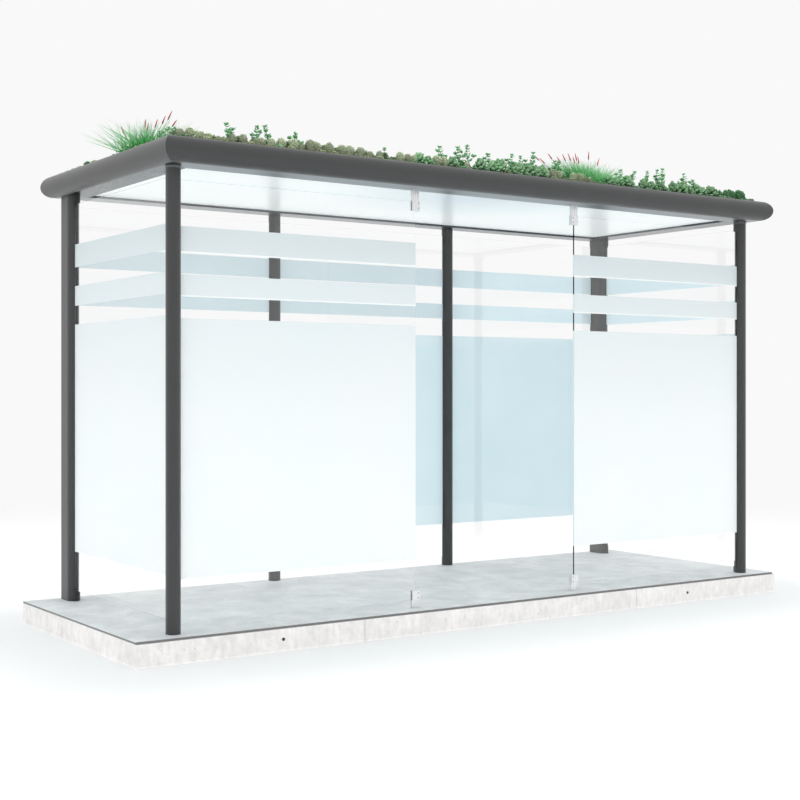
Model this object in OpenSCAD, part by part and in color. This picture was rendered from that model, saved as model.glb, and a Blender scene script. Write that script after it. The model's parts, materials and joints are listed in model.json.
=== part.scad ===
// Bus shelter with a planted flat roof, glass walls between slim posts and a concrete base.
// Millimetres, +Z up. The front faces -Y.
// The origin lies on the ground, midway between the corner posts.

/* [Plan] */
// Distance between neighbouring back posts, axis to axis
bay_pitch = 1320; // [1000:10:1600]
// Distance from the front posts to the back wall, axis to axis
wall_depth = 1370; // [1000:10:1800]
// Clear width of the entrance between the front panes
entrance_w = 1130; // [800:10:1500]

/* [Base] */
// Height of the concrete slab
slab_h = 115; // [80:5:250]
// Thickness of the paving on the slab
deck_h = 10; // [6:1:40]
// Paving behind the slab's front edge
deck_in = 16; // [0:1:40]
// Slab beyond the left posts' outer face
edge_left = 205; // [40:5:400]
// Slab beyond the right posts' outer face
edge_right = 145; // [40:5:400]
// Slab in front of the front posts
edge_front = 85; // [40:5:400]
// Slab behind the back posts
edge_rear = 5; // [2:1:200]
// Length of the left slab section
left_section = 1258; // [600:2:1500]
// Length of the right slab section
right_section = 1210; // [600:5:1500]
// Open joint between two slab sections
slab_joint = 0.6; // [0.2:0.1:0.9]

/* [Posts] */
// Diameter of the round posts
post_d = 73; // [50:1:110]
// Post height from the paving to the underside of the roof
post_h = 2245; // [2000:5:2700]
// Straight length of the flat-oval corner posts at the back
oval_run = 85; // [20:1:200]

/* [Glass] */
// Thickness of the panes
glass_t = 10; // [6:1:16]
// Depth of the groove that takes a pane's edge in a post
groove_d = 8; // [4:0.5:12]
// Gap below the side and back panes
glass_foot = 60; // [40:1:120]
// Gap above the side and back panes
glass_head = 50; // [30:1:120]
// How much lower the front panes sit
front_drop = 16; // [0:1:30]

/* [Frosted film] */
// Thickness of the film
film_t = 0.5; // [0.2:0.1:1.5]
// Clear glass between a post and the film
film_side = 1; // [1:0.5:20]
// Clear glass above the upper band
film_head = 222; // [120:1:400]
// Height of the upper band
upper_band_h = 127; // [60:1:200]
// Clear glass between the two bands
upper_gap = 104; // [40:1:200]
// Height of the lower band
lower_band_h = 108; // [60:1:200]
// Clear glass between the lower band and the large field
lower_gap = 104; // [40:1:200]
// How much higher the bands end on the back panes
back_band_cut = 10; // [0:1:30]
// Clear glass below the large field
film_foot = 215; // [80:1:400]

/* [Glass clamps on the posts] */
// Width of a clamp across the pane
clamp_t = 24; // [20:1:34]
// How far a clamp stands out from its post
clamp_reach = 8; // [5:0.5:25]
// Height of glass held in a clamp
clamp_grip = 12; // [6:1:25]

/* [Clips at the free glass edges] */
// Width of a clip along the pane
clip_w = 50; // [36:1:80]
// Thickness of a clip's jaws with the glass between them
clip_t = 26; // [22:1:34]
// Thickness of a clip's flat stem
stem_t = 12; // [8:1:18]
// Height of glass held in a clip
clip_grip = 50; // [25:1:70]

/* [Roof] */
// Roof edge beyond the side posts' outer face
over_side = 82; // [75:1:200]
// Roof edge in front of the front posts
over_front = 134; // [75:1:300]
// Roof edge behind the back posts
over_rear = 76; // [75:1:200]
// Height of the rounded roof edge
fascia_h = 122; // [100:1:132]
// Flat flange behind the rounding
fascia_flange = 9; // [4:1:20]
// Edge beam beyond the side posts' inner face
beam_in_side = 54; // [20:1:150]
// Edge beam behind the front posts
beam_in_front = 10; // [10:1:150]
// Edge beam in front of the back posts
beam_in_rear = 44; // [10:1:150]
// Height of the edge beams
beam_h = 50; // [36:1:60]
// Ceiling panel above the underside of the edge beams
soffit_recess = 12; // [4:1:30]
// Thickness of the roof tray
tray_t = 20; // [6:1:24]

/* [Planting] */
// Top of the growing medium below the top of the roof edge
medium_drop = 10; // [2:1:14]
// Planted mat above the top of the roof edge
mat_rise = 38; // [10:1:80]
// Planted mat inside the rounded roof edge
mat_inset = 6; // [0.5:0.5:40]
// Height of the grass tufts above the planted mat
tuft_h = 150; // [40:1:200]
// Width of a grass tuft at its foot
tuft_foot_d = 60; // [30:1:100]
// Width of a grass tuft at its top
tuft_top_d = 260; // [60:1:300]

/* [Hidden] */
// Clearance where pieces are let into or stand beside each other
fit = 0.3;
// Gap between a pane and its film
film_gap = 0.2;
// Length by which a cut runs out of the piece
cut_over = 1;
round_fn = 96;

// Places of the grass tufts as shares of the mat's length and depth
tuft_places = [
    [0.018, 0.36], [0.663, 0.06], [0.12, 0.86], [0.3, 0.8], [0.47, 0.9], [0.82, 0.8], [0.93, 0.9]
];

back_bays = 3;
post_r = post_d / 2;
x_corner = back_bays * bay_pitch / 2;
x_mid = bay_pitch / 2;
x_free = entrance_w / 2;
y_front = -wall_depth / 2;
y_back = wall_depth / 2;
y_oval = y_back - oval_run;

z_deck = slab_h + deck_h;
z_roof = z_deck + post_h;
z_ceiling = z_roof + soffit_recess;
z_tray = z_roof + beam_h;
z_medium = z_tray + tray_t;
z_mat = z_roof + fascia_h - medium_drop;
z_mat_top = z_roof + fascia_h + mat_rise;

slab_low = [-x_corner - post_r - edge_left, y_front - post_r - edge_front];
slab_high = [x_corner + post_r + edge_right, y_back + post_r + edge_rear];
x_left_joint = slab_low[0] + left_section;
x_right_joint = slab_high[0] - right_section;

// Roof outline, the inner face of its rounded edge and the inner edge of the beams
fascia_r = fascia_h / 2;
fascia_w = fascia_r + fascia_flange;
roof_low = [-x_corner - post_r - over_side, y_front - post_r - over_front];
roof_high = [x_corner + post_r + over_side, y_back + post_r + over_rear];
beam_low = roof_low + [fascia_w + fit, fascia_w + fit];
beam_high = roof_high - [fascia_w + fit, fascia_w + fit];
bay_low = [-x_corner + post_r + beam_in_side, y_front + post_r + beam_in_front];
bay_high = [x_corner - post_r - beam_in_side, y_back - post_r - beam_in_rear];

mat_low = beam_low + [mat_inset, mat_inset];
mat_high = beam_high - [mat_inset, mat_inset];

// Edges of the panes in the grooves of their posts
pane_seat = post_r - groove_d + fit;
film_seat = post_r + film_side;

// Plan directions from a post to the pane that it holds, in degrees
to_right = 0;
to_back = 90;
to_left = 180;
to_front = 270;

paint = "#4c4e50";
beam_grey = "#a9aeb1";
steel = "#c8ccd0";
film_white = "#dfeaed";

// Lower and upper edge of a pane that sits lower by drop
function pane_low(drop) = z_deck + glass_foot - drop;
function pane_high(drop) = z_roof - glass_head - drop;

// Heights of the film's three fields on such a pane, each as lower and upper edge; bands end higher by cut
function film_fields(drop, cut) =
    let (
        upper_top = pane_high(drop) - film_head,
        upper_low = upper_top - upper_band_h,
        lower_top = upper_low - upper_gap,
        lower_low = lower_top - lower_band_h,
        field_top = lower_low - lower_gap,
        field_low = pane_low(drop) + film_foot
    )
    [[field_low, field_top], [lower_low + cut, lower_top], [upper_low + cut, upper_top]];

// Box between two opposite corners
module block(low, high) {
    translate(low)
        cube(high - low);
}

// Slab section between two places along X
module slab_section(x0, x1) {
    color("#e9e8e4")
        block([x0, slab_low[1], 0], [x1, slab_high[1], slab_h]);
}

module base_slab_left() {
    slab_section(slab_low[0], x_left_joint - slab_joint / 2);
}

module base_slab_middle() {
    slab_section(x_left_joint + slab_joint / 2, x_right_joint - slab_joint / 2);
}

module base_slab_right() {
    slab_section(x_right_joint + slab_joint / 2, slab_high[0]);
}

module deck_paving() {
    color("#d3d9da")
        block([slab_low[0], slab_low[1] + deck_in, slab_h], [slab_high[0], slab_high[1], z_deck]);
}

// Groove from the post axis towards angle, as tall as the pane that stands in it
module groove(angle, drop) {
    rotate([0, 0, angle])
        block(
            [post_r - groove_d, -glass_t / 2 - fit, pane_low(drop) - fit],
            [post_r + cut_over, glass_t / 2 + fit, pane_high(drop) + fit]
        );
}

// Plan outline of the flat-oval corner post around its rear centre
module oval_outline() {
    circle(r = post_r, $fn = round_fn);
    translate([0, -oval_run])
        circle(r = post_r, $fn = round_fn);
    translate([-post_r, -oval_run])
        square([post_d, oval_run]);
}

// Round post with a groove for each pair of direction and drop
module round_post(x, y, grooves) {
    color(paint)
        translate([x, y, 0])
            difference() {
                translate([0, 0, z_deck])
                    cylinder(r = post_r, h = post_h, $fn = round_fn);
                for (g = grooves)
                    groove(g[0], g[1]);
            }
}

// Corner post at the back with its side pane in front and its back pane beside it
module oval_post(x, back_direction) {
    color(paint)
        translate([x, y_back, 0])
            difference() {
                translate([0, 0, z_deck])
                    linear_extrude(post_h)
                        oval_outline();
                groove(back_direction, 0);
                translate([0, -oval_run, 0])
                    groove(to_front, 0);
            }
}

module front_left_post() {
    round_post(-x_corner, y_front, [[to_right, front_drop], [to_back, 0]]);
}

module front_right_post() {
    round_post(x_corner, y_front, [[to_left, front_drop], [to_back, 0]]);
}

module rear_left_post() {
    oval_post(-x_corner, to_right);
}

module rear_right_post() {
    oval_post(x_corner, to_left);
}

module rear_mid_left_post() {
    round_post(-x_mid, y_back, [[to_left, 0], [to_right, 0]]);
}

module rear_mid_right_post() {
    round_post(x_mid, y_back, [[to_left, 0], [to_right, 0]]);
}

// Pane along X between two edges
module long_pane(x0, x1, y, drop) {
    color("#d8eef0", 0.35)
        block([x0, y - glass_t / 2, pane_low(drop)], [x1, y + glass_t / 2, pane_high(drop)]);
}

// Pane along Y between the front post and the corner post
module side_pane(x) {
    color("#d8eef0", 0.35)
        block(
            [x - glass_t / 2, y_front + pane_seat, pane_low(0)],
            [x + glass_t / 2, y_oval - pane_seat, pane_high(0)]
        );
}

module front_left_glass() {
    long_pane(-x_corner + pane_seat, -x_free, y_front, front_drop);
}

module front_right_glass() {
    long_pane(x_free, x_corner - pane_seat, y_front, front_drop);
}

module left_side_glass() {
    side_pane(-x_corner);
}

module right_side_glass() {
    side_pane(x_corner);
}

module back_left_glass() {
    long_pane(-x_corner + pane_seat, -x_mid - pane_seat, y_back, 0);
}

module back_middle_glass() {
    long_pane(-x_mid + pane_seat, x_mid - pane_seat, y_back, 0);
}

module back_right_glass() {
    long_pane(x_mid + pane_seat, x_corner - pane_seat, y_back, 0);
}

// Film on the outer face of a pane along X; outward is -1 in front and 1 at the back
module long_film(x0, x1, y, outward, drop, cut) {
    inner = y + outward * (glass_t / 2 + film_gap);
    outer = inner + outward * film_t;
    color(film_white, 0.8)
        for (field = film_fields(drop, cut))
            block([x0, min(inner, outer), field[0]], [x1, max(inner, outer), field[1]]);
}

// Film on the outer face of a side pane; outward is -1 on the left and 1 on the right
module side_film(x, outward) {
    inner = x + outward * (glass_t / 2 + film_gap);
    outer = inner + outward * film_t;
    color(film_white, 0.8)
        for (field = film_fields(0, 0))
            block(
                [min(inner, outer), y_front + film_seat, field[0]],
                [max(inner, outer), y_oval - film_seat, field[1]]
            );
}

module front_left_film() {
    long_film(-x_corner + film_seat, -x_free, y_front, -1, front_drop, 0);
}

module front_right_film() {
    long_film(x_free, x_corner - film_seat, y_front, -1, front_drop, 0);
}

module left_side_film() {
    side_film(-x_corner, -1);
}

module right_side_film() {
    side_film(x_corner, 1);
}

module back_left_film() {
    long_film(-x_corner + film_seat, -x_mid - film_seat, y_back, 1, 0, back_band_cut);
}

module back_middle_film() {
    long_film(-x_mid + film_seat, x_mid - film_seat, y_back, 1, 0, back_band_cut);
}

module back_right_film() {
    long_film(x_mid + film_seat, x_corner - film_seat, y_back, 1, 0, back_band_cut);
}

// Clamp from z0 to z1 beside a post of the left or right wall, slotted for its side pane
module side_clamp(x, y, angle, z0, z1) {
    reach = post_r + clamp_reach;
    color("#3a3c3e")
        translate([x, y, 0])
            difference() {
                rotate([0, 0, angle])
                    block([0, -clamp_t / 2, z0], [reach, clamp_t / 2, z1]);
                translate([0, 0, z0 - cut_over])
                    cylinder(r = post_r + fit, h = z1 - z0 + 2 * cut_over, $fn = round_fn);
                rotate([0, 0, angle])
                    block(
                        [0, -glass_t / 2 - fit, pane_low(0)],
                        [reach + cut_over, glass_t / 2 + fit, pane_high(0) + fit]
                    );
            }
}

// Lower and upper clamp at both edges of the two side panes
module side_glass_clamps() {
    for (x = [-x_corner, x_corner], edge = [[y_front, to_back], [y_oval, to_front]]) {
        side_clamp(x, edge[0], edge[1], z_deck, pane_low(0) + clamp_grip);
        side_clamp(x, edge[0], edge[1], pane_high(0) - clamp_grip, z_roof);
    }
}

// Slot in a clip for the free edge of a front pane; glass_side is -1 where the glass lies to the left
module free_edge_slot(glass_side) {
    deep = glass_side * (clip_w / 2 + cut_over);
    stop = -glass_side * fit;
    block(
        [min(deep, stop), -glass_t / 2 - fit, pane_low(front_drop)],
        [max(deep, stop), glass_t / 2 + fit, pane_high(front_drop)]
    );
}

// Clip between the paving and the lower corner of a front pane
module foot_clip(glass_side) {
    jaw_low = pane_low(front_drop) - glass_t / 2;
    jaw_top = pane_low(front_drop) + clip_grip;
    color(steel)
        translate([glass_side * x_free, y_front, 0])
            difference() {
                union() {
                    block([-clip_w / 2, -stem_t / 2, z_deck], [clip_w / 2, stem_t / 2, jaw_top]);
                    block([-clip_w / 2, -clip_t / 2, jaw_low], [clip_w / 2, clip_t / 2, jaw_top]);
                }
                free_edge_slot(glass_side);
            }
}

// Clip between the roof and the upper corner of a front pane
module top_clip(glass_side) {
    jaw_low = pane_high(front_drop) - clip_grip;
    jaw_top = pane_high(front_drop) + glass_t / 2;
    color(steel)
        translate([glass_side * x_free, y_front, 0])
            difference() {
                union() {
                    block([-clip_w / 2, -stem_t / 2, jaw_low], [clip_w / 2, stem_t / 2, z_roof]);
                    block([-clip_w / 2, -clip_t / 2, jaw_low], [clip_w / 2, clip_t / 2, jaw_top]);
                }
                free_edge_slot(glass_side);
            }
}

module front_left_foot_clip() {
    foot_clip(-1);
}

module front_left_top_clip() {
    top_clip(-1);
}

module front_right_foot_clip() {
    foot_clip(1);
}

module front_right_top_clip() {
    top_clip(1);
}

// Edge beam with the plan of a trapezium, mitred at both ends
module edge_beam(plan) {
    color(beam_grey)
        translate([0, 0, z_roof])
            linear_extrude(beam_h)
                polygon(plan);
}

module front_edge_beam() {
    edge_beam([
        [beam_low[0] + fit, beam_low[1]], [beam_high[0] - fit, beam_low[1]],
        [bay_high[0] - fit, bay_low[1]], [bay_low[0] + fit, bay_low[1]]
    ]);
}

module rear_edge_beam() {
    edge_beam([
        [beam_low[0] + fit, beam_high[1]], [bay_low[0] + fit, bay_high[1]],
        [bay_high[0] - fit, bay_high[1]], [beam_high[0] - fit, beam_high[1]]
    ]);
}

module left_edge_beam() {
    edge_beam([
        [beam_low[0], beam_low[1]], [bay_low[0], bay_low[1]],
        [bay_low[0], bay_high[1]], [beam_low[0], beam_high[1]]
    ]);
}

module right_edge_beam() {
    edge_beam([
        [beam_high[0], beam_low[1]], [beam_high[0], beam_high[1]],
        [bay_high[0], bay_high[1]], [bay_high[0], bay_low[1]]
    ]);
}

// Rounded roof edge along +X with its outer line on y = 0, mitred at both ends
module fascia(length) {
    color(paint)
        intersection() {
            rotate([90, 0, 90])
                linear_extrude(length) {
                    translate([fascia_r, fascia_r])
                        circle(r = fascia_r, $fn = round_fn);
                    translate([fascia_r, 0])
                        square([fascia_flange, fascia_h]);
                }
            linear_extrude(fascia_h)
                polygon([
                    [fit / 2, 0], [length - fit / 2, 0],
                    [length - fascia_w - fit / 2, fascia_w], [fascia_w + fit / 2, fascia_w]
                ]);
        }
}

module front_fascia() {
    translate([roof_low[0], roof_low[1], z_roof])
        fascia(roof_high[0] - roof_low[0]);
}

module right_fascia() {
    translate([roof_high[0], roof_low[1], z_roof])
        rotate([0, 0, 90])
            fascia(roof_high[1] - roof_low[1]);
}

module rear_fascia() {
    translate([roof_high[0], roof_high[1], z_roof])
        rotate([0, 0, 180])
            fascia(roof_high[0] - roof_low[0]);
}

module left_fascia() {
    translate([roof_low[0], roof_high[1], z_roof])
        rotate([0, 0, 270])
            fascia(roof_high[1] - roof_low[1]);
}

module soffit_panel() {
    color("#eaf3f5")
        block(
            [bay_low[0] + fit, bay_low[1] + fit, z_ceiling],
            [bay_high[0] - fit, bay_high[1] - fit, z_tray]
        );
}

module roof_tray() {
    color("#8d9194")
        block([beam_low[0], beam_low[1], z_tray], [beam_high[0], beam_high[1], z_medium]);
}

module growing_medium() {
    color("#54422f")
        block([beam_low[0], beam_low[1], z_medium], [beam_high[0], beam_high[1], z_mat]);
}

module sedum_mat() {
    color("#667f42")
        block([mat_low[0], mat_low[1], z_mat], [mat_high[0], mat_high[1], z_mat_top]);
}

// Tufts of taller grass that stand on the mat and spread towards their tops
module grass_tufts() {
    spread = mat_high - mat_low;
    color("#8a9a4a")
        for (place = tuft_places)
            translate([mat_low[0] + place[0] * spread[0], mat_low[1] + place[1] * spread[1], z_mat_top])
                cylinder(d1 = tuft_foot_d, d2 = tuft_top_d, h = tuft_h, $fn = round_fn);
}

base_slab_left();
base_slab_middle();
base_slab_right();
deck_paving();
front_left_post();
front_right_post();
rear_left_post();
rear_right_post();
rear_mid_left_post();
rear_mid_right_post();
front_left_glass();
front_right_glass();
left_side_glass();
right_side_glass();
back_left_glass();
back_middle_glass();
back_right_glass();
front_left_film();
front_right_film();
left_side_film();
right_side_film();
back_left_film();
back_middle_film();
back_right_film();
side_glass_clamps();
front_left_foot_clip();
front_left_top_clip();
front_right_foot_clip();
front_right_top_clip();
front_edge_beam();
rear_edge_beam();
left_edge_beam();
right_edge_beam();
front_fascia();
rear_fascia();
left_fascia();
right_fascia();
soffit_panel();
roof_tray();
growing_medium();
sedum_mat();
grass_tufts();
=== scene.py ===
"""Looks of a bus shelter with frosted glass walls and a planted roof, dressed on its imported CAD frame.

Metres, +Z up, the front faces -Y. Nothing moves, so every piece rides on the one body, root.
"""
import json
import math

import bpy
import numpy as np
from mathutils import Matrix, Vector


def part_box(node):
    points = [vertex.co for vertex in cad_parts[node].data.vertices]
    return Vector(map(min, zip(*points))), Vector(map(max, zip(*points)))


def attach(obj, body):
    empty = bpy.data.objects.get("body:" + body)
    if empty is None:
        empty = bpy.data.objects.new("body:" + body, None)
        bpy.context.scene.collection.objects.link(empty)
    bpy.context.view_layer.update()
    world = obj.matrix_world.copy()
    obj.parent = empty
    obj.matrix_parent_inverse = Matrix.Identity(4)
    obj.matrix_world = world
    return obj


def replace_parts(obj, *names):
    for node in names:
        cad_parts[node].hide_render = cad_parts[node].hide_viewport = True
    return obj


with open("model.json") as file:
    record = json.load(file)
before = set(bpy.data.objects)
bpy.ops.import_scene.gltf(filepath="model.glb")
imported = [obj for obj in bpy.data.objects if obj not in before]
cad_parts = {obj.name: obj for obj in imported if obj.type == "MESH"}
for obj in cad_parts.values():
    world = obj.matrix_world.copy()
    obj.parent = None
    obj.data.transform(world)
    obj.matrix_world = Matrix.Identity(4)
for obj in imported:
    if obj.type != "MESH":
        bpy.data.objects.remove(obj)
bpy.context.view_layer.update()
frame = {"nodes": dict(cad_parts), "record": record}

MM = 0.001
WHITE = (1.0, 1.0, 1.0, 1.0)
# Turns in radians; the golden turn spreads leaves evenly round a stem
GOLDEN_TURN = math.pi * (3 - math.sqrt(5))
ANY_TURN = 6.28
THIRD_TURN, SIXTH_TURN = 2.094, 1.047

# Camera: level, at eye height, left of the front
CAMERA_PLACE = (-4.83636, -6.76751, 1.29463)
CAMERA_YAW = 34.459
CAMERA_LENS = 62.306
CAMERA_SHIFT = -0.0128
SENSOR_WIDTH = 36.0

# Colour of the room seen behind the shelter, and strength of its white light
BACKDROP = "#f9f9f9"
ROOM_LIGHT = 1.25

# Heights of the film's three fields on the front panes, in metres; the two bands lie above BANDS_FROM
FILM_HEIGHTS = ((0.384, 1.639), (1.743, 1.851), (1.955, 2.082))
BANDS_FROM = 1.7
# Distances from the middle: the entrance lies within the first, the side panes beyond the second
ENTRANCE_REACH = 1.5
SIDES_FROM = 1.96
# The front panes lie before this depth, and their films have a painted pale rim, a painted highlight of the
# cut edge, of this height
FRONT_BEFORE = -0.67
FILM_GLOW_RIM = 7 * MM

# Sockets of the colour form of the Mix node
MIX_SHARE, MIX_A, MIX_B, MIX_OUT = 0, 6, 7, 2


def linear(hex_colour):
    """Linear RGBA of an sRGB hex colour."""
    shares = [int(hex_colour[i:i + 2], 16) / 255 for i in (1, 3, 5)]
    return (*[s / 12.92 if s <= 0.04045 else ((s + 0.055) / 1.055) ** 2.4 for s in shares], 1.0)


def per(size_mm):
    """Texture scale at which one feature is size_mm wide."""
    return 1000 / size_mm


def add(tree, kind, inputs=None, **settings):
    """Adds a shader node; an input takes a plain value or the output socket that feeds it."""
    made = tree.nodes.new("ShaderNode" + kind)
    for name, value in settings.items():
        setattr(made, name, value)
    for name, value in (inputs or {}).items():
        if isinstance(value, bpy.types.NodeSocket):
            tree.links.new(value, made.inputs[name])
        else:
            made.inputs[name].default_value = value
    return made


def calc(tree, operation, *values):
    """Result of one calculation on numbers."""
    return add(tree, "Math", dict(enumerate(values)), operation=operation).outputs[0]


def vector_calc(tree, operation, *values):
    """Result of one calculation on vectors: a number for a length, distance or product, else a vector."""
    results = add(tree, "VectorMath", dict(enumerate(values)), operation=operation).outputs
    return results["Value" if operation in ("LENGTH", "DISTANCE", "DOT_PRODUCT") else "Vector"]


def ramp(tree, value, low, high, to_low=0.0, to_high=1.0, **settings):
    """Number that runs from to_low to to_high while value runs from low to high, and stays there."""
    return add(tree, "MapRange", {
        "Value": value, "From Min": low, "From Max": high, "To Min": to_low, "To Max": to_high,
    }, **settings).outputs[0]


def mix(tree, share, first, second, **settings):
    """Colour between first and second."""
    inputs = {MIX_SHARE: share, MIX_A: first, MIX_B: second}
    return add(tree, "Mix", inputs, data_type="RGBA", **settings).outputs[MIX_OUT]


def blend(tree, share, first, second):
    """Shader between first and second."""
    return add(tree, "MixShader", {0: share, 1: first, 2: second}).outputs[0]


def noise(tree, place, size_mm, detail, roughness=0.5):
    """Cloudy pattern with features of size_mm."""
    return add(tree, "TexNoise", {
        "Vector": place, "Scale": per(size_mm), "Detail": detail, "Roughness": roughness,
    }).outputs[0]


def stretched(tree, place, scale, shift=(0.0, 0.0, 0.0)):
    """Place scaled by axis, then shifted."""
    return add(tree, "Mapping", {"Vector": place, "Location": shift, "Scale": scale}).outputs[0]


def split(tree, vector):
    """The X, Y and Z of a vector."""
    return add(tree, "SeparateXYZ", {"Vector": vector}).outputs


def surface_normal(tree):
    """The way the surface faces."""
    return add(tree, "NewGeometry").outputs["Normal"]


def bumps(tree, height, strength, depth, **settings):
    """Normal of a surface with a fine relief."""
    inputs = {"Height": height, "Strength": strength, "Distance": depth}
    return add(tree, "Bump", inputs, **settings).outputs[0]


def skin(tree, colour, rough, extra=None):
    """Shader of a surface; extra sets more of its inputs."""
    inputs = {"Base Color": colour, "Roughness": rough, **(extra or {})}
    return add(tree, "BsdfPrincipled", inputs).outputs[0]


def wear(tree, shader):
    """Makes the shader the material's surface."""
    add(tree, "OutputMaterial", {"Surface": shader})


def wear_lit_through(tree, shader, clear_colour):
    """Makes the shader the surface that is seen, while daylight falls straight through it."""
    path = add(tree, "LightPath").outputs
    daylight = calc(tree, "MAXIMUM", path["Is Shadow Ray"], path["Is Diffuse Ray"])
    clear = add(tree, "BsdfTransparent", {"Color": clear_colour}).outputs[0]
    wear(tree, blend(tree, daylight, shader, clear))


def seen_share(tree):
    """1 where the eye looks straight, by a mirror or through glass, and 0 for light on its way."""
    path = add(tree, "LightPath").outputs
    seen = calc(tree, "MAXIMUM", path["Is Camera Ray"], path["Is Glossy Ray"])
    return calc(tree, "MAXIMUM", seen, path["Is Transmission Ray"])


def new_material(name):
    """Material with an empty tree, and its place in metres."""
    material = bpy.data.materials.new(name)
    material.use_nodes = True
    tree = material.node_tree
    tree.nodes.clear()
    place = add(tree, "TexCoord").outputs["Object"]
    return material, tree, place


def cast_concrete(joints):
    """Concrete cast against smooth forms: pale, cloudy, sandy, with blow holes and dark joints."""
    material, tree, place = new_material("cast_concrete")
    cloud = noise(tree, place, 190, 5.0, 0.62)
    mottle = noise(tree, place, 34, 6.0, 0.75)
    # Water ran down the forms, so the fine streaks stand upright
    streak = noise(tree, stretched(tree, place, (1.0, 1.0, 0.4)), 28, 4.0)
    clouds = calc(tree, "ADD", calc(tree, "ADD", cloud, mottle), streak)
    colour = mix(tree, ramp(tree, clouds, 1.1, 1.9), linear("#d2d1d0"), linear("#efedec"))
    # Sand grain is about 1 mm; drawn at 6 mm to show
    sand = noise(tree, place, 6, 3.0)
    colour = mix(tree, ramp(tree, sand, 0.42, 0.3, 0.0, 0.25), colour, linear("#b9b7b2"))
    # Blow holes 3 to 6 mm wide, about 40 mm apart
    holes = add(tree, "TexVoronoi", {"Vector": place, "Scale": per(42)}).outputs["Distance"]
    hole_share = ramp(tree, holes, 0.09, 0.05, 0.0, 0.55)
    colour = mix(tree, hole_share, colour, linear("#86847f"))
    # Painted shade: the narrow ledge in front of the paving, which faces up, is darker
    ledge_shade = ramp(tree, split(tree, surface_normal(tree))["Z"], 0.5, 0.9)
    colour = mix(tree, ledge_shade, colour, linear("#9a9996"))
    # Painted light: a pale glow along the foot, as light thrown up from the white floor
    across = split(tree, place)
    foot_glow = ramp(tree, across["Z"], 14 * MM, 0.0, 0.0, 0.5)
    colour = mix(tree, foot_glow, colour, linear("#fcfbfa"))
    # Dirt gathers within 4 mm of the upright joints too
    for joint in joints:
        distance = calc(tree, "ABSOLUTE", calc(tree, "SUBTRACT", across["X"], joint))
        dirt = ramp(tree, distance, 4 * MM, 1 * MM, 0.0, 0.3)
        colour = mix(tree, dirt, colour, linear("#8d8b86"))
    relief = calc(tree, "SUBTRACT", sand, hole_share)
    rough = ramp(tree, sand, 0.0, 1.0, 0.7, 0.95)
    wear(tree, skin(tree, colour, rough, {"Normal": bumps(tree, relief, 0.25, 2 * MM)}))
    return material


def honed_paving():
    """Pale stone paving, honed: cloudy and speckled, with a low gloss on top and darker grey upright faces.
    """
    material, tree, place = new_material("honed_paving")
    cloud = noise(tree, place, 170, 8.0, 0.7)
    stone = mix(tree, ramp(tree, cloud, 0.36, 0.64), linear("#c5cbcd"), linear("#dee3e4"))
    # Stone grain is under 1 mm; drawn at 9 mm to show
    grain = noise(tree, place, 9, 3.0)
    speckled = mix(tree, ramp(tree, grain, 0.47, 0.3, 0.0, 0.4), stone, linear("#a3a9ab"))
    top = ramp(tree, split(tree, surface_normal(tree))["Z"], 0.3, 0.8)
    colour = mix(tree, top, linear("#7d7e7f"), speckled)
    rough = ramp(tree, cloud, 0.0, 1.0, 0.45, 0.7)
    wear(tree, skin(tree, colour, rough, {"Normal": bumps(tree, grain, 0.05, 1 * MM)}))
    return material


def powder_coat(name, dark, light, sheen):
    """Satin powder coat: an even dark grey with a faint orange-peel skin that pales at a low angle."""
    material, tree, place = new_material(name)
    colour = mix(tree, noise(tree, place, 260, 4.0), linear(dark), linear(light))
    # Orange peel is about 1 mm; drawn at 4 mm to show
    peel = noise(tree, place, 4, 1.0)
    rough = ramp(tree, peel, 0.0, 1.0, 0.38, 0.52)
    wear(tree, skin(tree, colour, rough, {
        "Normal": bumps(tree, peel, 0.04, 0.4 * MM),
        "Sheen Weight": sheen, "Sheen Roughness": 0.45, "Sheen Tint": WHITE,
    }))
    return material


def toughened_glass():
    """Clear toughened float glass: a gloss at low angles, a faint roller wave, ground edges."""
    material, tree, place = new_material("toughened_glass")
    wave = bumps(tree, noise(tree, place, 280, 0.0), 0.02, 1 * MM)
    pane = skin(tree, WHITE, 0.0, {"IOR": 1.5, "Transmission Weight": 1.0, "Normal": wave})
    facing = split(tree, vector_calc(tree, "ABSOLUTE", surface_normal(tree)))
    along = split(tree, vector_calc(tree, "ABSOLUTE", place))
    # Ground upper and lower edges look grey, most of all on the side panes
    strongest = ramp(tree, along["X"], SIDES_FROM, SIDES_FROM + 1 * MM, 0.2, 0.5)
    ground = ramp(tree, facing["Z"], 0.8, 0.95, 0.0, strongest)
    pane = blend(tree, ground, pane, skin(tree, linear("#64706f"), 0.6))
    # Beside the film, the upright edges at the entrance carry its light and turn pale
    beside = 0.0
    for low, high in FILM_HEIGHTS:
        band = calc(tree, "COMPARE", along["Z"], (low + high) / 2, (high - low) / 2)
        beside = calc(tree, "ADD", beside, band)
    entrance = calc(tree, "LESS_THAN", along["X"], ENTRANCE_REACH)
    lit = calc(tree, "MULTIPLY", calc(tree, "MULTIPLY", entrance, beside), facing["X"])
    pane = blend(tree, lit, pane, skin(tree, linear("#d5e3e6"), 0.45))
    wear_lit_through(tree, pane, WHITE)
    return material


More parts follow.
